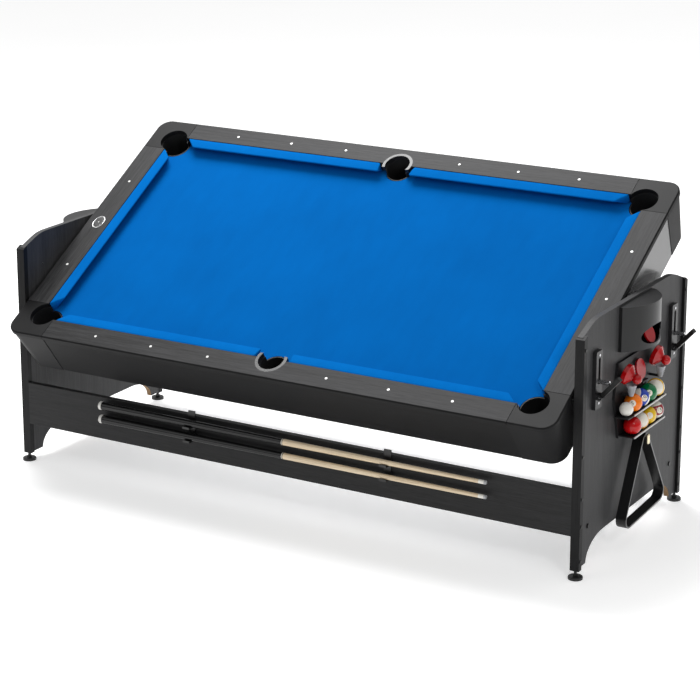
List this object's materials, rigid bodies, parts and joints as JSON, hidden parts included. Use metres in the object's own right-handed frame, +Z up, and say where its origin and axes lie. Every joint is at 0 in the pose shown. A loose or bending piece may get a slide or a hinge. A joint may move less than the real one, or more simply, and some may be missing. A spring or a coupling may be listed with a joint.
{
  "type": "flip-over pool and air hockey table",
  "caption": "Games table whose bed turns over between two end panels: pool on one side, air hockey on the other, with level locks, cue clips and a ball rack.",
  "frame": {"origin": "on the floor under the middle of the stand", "axes": "+X along the table to its right-hand end, +Y to the rear, +Z up; the front, with the cues, is -Y"},
  "size_m": [2.2502, 1.0161, 1.0559],
  "materials": {
    "panel_board": "dark grey laminate with a faint vertical grain",
    "post": "dark satin edging",
    "stretcher_board": "dark satin laminate",
    "zinc": "zinc-plated",
    "screws": "bright plated",
    "black_screws": "black oxide",
    "nylon": "satin",
    "housing": "satin moulded",
    "latch_plate": "satin powder coat",
    "pin_steel": "bright",
    "rack": "matt moulded",
    "rack_lip": "light grey satin",
    "cup_plastic": "translucent grey",
    "hook_metal": "polished",
    "clip_plastic": "satin",
    "raw_board": "raw fibreboard",
    "cloth": "blue napped cloth",
    "rail": "dark grey wood-grain laminate",
    "corner_plastic": "fine-grained moulding",
    "ring_plastic": "satin",
    "pocket_plastic": "matt",
    "cushion": "rubber under blue cloth",
    "apron": "black satin laminate",
    "hockey_white": "white gloss laminate",
    "hockey_rail": "satin",
    "plenum": "matt",
    "blower": "matt",
    "motor": "plain",
    "fan_plastic": "matt",
    "sight": "pearl white",
    "axle_steel": "turned",
    "triangle_plastic": "satin grey",
    "striker_red": "glossy red",
    "puck_red": "glossy red",
    "ball_white": "polished",
    "ball": "polished, each ball its own colour",
    "lever": "satin black",
    "foot_plastic": "satin black",
    "cue_butt": "black lacquer",
    "cue_shaft": "lacquered maple",
    "cue_end": "satin"
  },
  "bodies": {
    "stand": {"end_panels": "panel_board", "leg_posts": "post", "stretchers": "stretcher_board", "stretcher_brackets": "zinc", "stand_fasteners": "black_screws", "foot_inserts": "zinc", "pivot_bushes": "nylon", "puck_housings": "housing", "latch_plates": "latch_plate", "latch_screws": "screws", "lever_pivot_pins": "pin_steel", "rack_back": "rack", "shelf_lips": "rack_lip", "striker_cups": "cup_plastic", "triangle_hook": "hook_metal", "cue_clips": "clip_plastic", "cue_ball": "ball_white", "object_balls": "ball", "stored_pucks": "puck_red"},
    "bed": {"pool_board": "raw_board", "play_cloth": "cloth", "long_top_rails": "rail", "end_top_rails": "rail", "corner_caps": "corner_plastic", "side_pocket_rings": "ring_plastic", "pocket_cups": "pocket_plastic", "cushions": "cushion", "long_aprons": "apron", "end_aprons": "apron", "bed_bearers": "raw_board", "hockey_board": "hockey_white", "hockey_rails": "hockey_rail", "air_plenum": "plenum", "blower_housing": "blower", "blower_motor": "motor", "rail_sights": "sight", "pivot_axles": "axle_steel", "axle_collars": "axle_steel"},
    "fan": {"blower_fan": "fan_plastic"},
    "lever_front_left": {"latch_lever_front_left": "lever"},
    "pin_front_left": {"lock_pin_front_left": "pin_steel"},
    "foot_front_left": {"foot_front_left": "foot_plastic"},
    "lever_front_right": {"latch_lever_front_right": "lever"},
    "pin_front_right": {"lock_pin_front_right": "pin_steel"},
    "foot_front_right": {"foot_front_right": "foot_plastic"},
    "lever_rear_left": {"latch_lever_rear_left": "lever"},
    "pin_rear_left": {"lock_pin_rear_left": "pin_steel"},
    "foot_rear_left": {"foot_rear_left": "foot_plastic"},
    "lever_rear_right": {"latch_lever_rear_right": "lever"},
    "pin_rear_right": {"lock_pin_rear_right": "pin_steel"},
    "foot_rear_right": {"foot_rear_right": "foot_plastic"},
    "upper_cue": {"upper_cue_butt": "cue_butt", "upper_cue_shaft": "cue_shaft", "upper_cue_ends": "cue_end"},
    "lower_cue": {"lower_cue_butt": "cue_butt", "lower_cue_shaft": "cue_shaft", "lower_cue_ends": "cue_end"},
    "triangle": {"rack_triangle": "triangle_plastic"},
    "striker_front": {"striker_front": "striker_red"},
    "striker_rear": {"striker_rear": "striker_red"}
  },
  "joints": [
    {"name": "bed_turn", "type": "hinge", "parent": "stand", "child": "bed", "pos_m": [0, 0, 0.7014], "axis": [1, 0, 0], "range_deg": [-30.3, 149.7]},
    {"name": "fan_spin", "type": "hinge", "parent": "bed", "child": "fan", "pos_m": [0, 0, 0.7014], "axis": [0, -0.5045, 0.8634], "continuous": true},
    {"name": "lever_front_left_close", "type": "hinge", "parent": "stand", "child": "lever_front_left", "pos_m": [-1.061, -0.29, 0.553], "axis": [0, 1, 0], "range_deg": [0, 42]},
    {"name": "pin_front_left_slide", "type": "slide", "parent": "stand", "child": "pin_front_left", "axis": [1, 0, 0], "range_m": [0, 0.04]},
    {"name": "foot_front_left_turn", "type": "hinge", "parent": "stand", "child": "foot_front_left", "pos_m": [-1.035, -0.384, 0], "axis": [0, 0, 1], "continuous": true},
    {"name": "lever_front_right_close", "type": "hinge", "parent": "stand", "child": "lever_front_right", "pos_m": [1.061, -0.29, 0.553], "axis": [0, -1, 0], "range_deg": [0, 42]},
    {"name": "pin_front_right_slide", "type": "slide", "parent": "stand", "child": "pin_front_right", "axis": [-1, 0, 0], "range_m": [0, 0.04]},
    {"name": "foot_front_right_turn", "type": "hinge", "parent": "stand", "child": "foot_front_right", "pos_m": [1.035, -0.384, 0], "axis": [0, 0, 1], "continuous": true},
    {"name": "lever_rear_left_close", "type": "hinge", "parent": "stand", "child": "lever_rear_left", "pos_m": [-1.061, 0.29, 0.553], "axis": [0, 1, 0], "range_deg": [0, 42]},
    {"name": "pin_rear_left_slide", "type": "slide", "parent": "stand", "child": "pin_rear_left", "axis": [1, 0, 0], "range_m": [0, 0.04]},
    {"name": "foot_rear_left_turn", "type": "hinge", "parent": "stand", "child": "foot_rear_left", "pos_m": [-1.035, 0.384, 0], "axis": [0, 0, 1], "continuous": true},
    {"name": "lever_rear_right_close", "type": "hinge", "parent": "stand", "child": "lever_rear_right", "pos_m": [1.061, 0.29, 0.553], "axis": [0, -1, 0], "range_deg": [0, 42]},
    {"name": "pin_rear_right_slide", "type": "slide", "parent": "stand", "child": "pin_rear_right", "axis": [-1, 0, 0], "range_m": [0, 0.04]},
    {"name": "foot_rear_right_turn", "type": "hinge", "parent": "stand", "child": "foot_rear_right", "pos_m": [1.035, 0.384, 0], "axis": [0, 0, 1], "continuous": true},
    {"name": "upper_cue_lift", "type": "slide", "parent": "stand", "child": "upper_cue", "axis": [0, -0.866, 0.5], "range_m": [0, 0.06]},
    {"name": "lower_cue_lift", "type": "slide", "parent": "stand", "child": "lower_cue", "axis": [0, -0.866, 0.5], "range_m": [0, 0.06]},
    {"name": "triangle_lift", "type": "slide", "parent": "stand", "child": "triangle", "axis": [0, 0, 1], "range_m": [0, 0.014]},
    {"name": "striker_front_lift", "type": "slide", "parent": "stand", "child": "striker_front", "axis": [0.866, 0, 0.5], "range_m": [0, 0.12]},
    {"name": "striker_rear_lift", "type": "slide", "parent": "stand", "child": "striker_rear", "axis": [0.866, 0, 0.5], "range_m": [0, 0.12]}
  ],
  "couplings": [
    {"joint": "pin_front_left_slide", "follows": "lever_front_left_close", "m_per_rad": 0.054567},
    {"joint": "pin_front_right_slide", "follows": "lever_front_right_close", "m_per_rad": 0.054567},
    {"joint": "pin_rear_left_slide", "follows": "lever_rear_left_close", "m_per_rad": 0.054567},
    {"joint": "pin_rear_right_slide", "follows": "lever_rear_right_close", "m_per_rad": 0.054567}
  ]
}
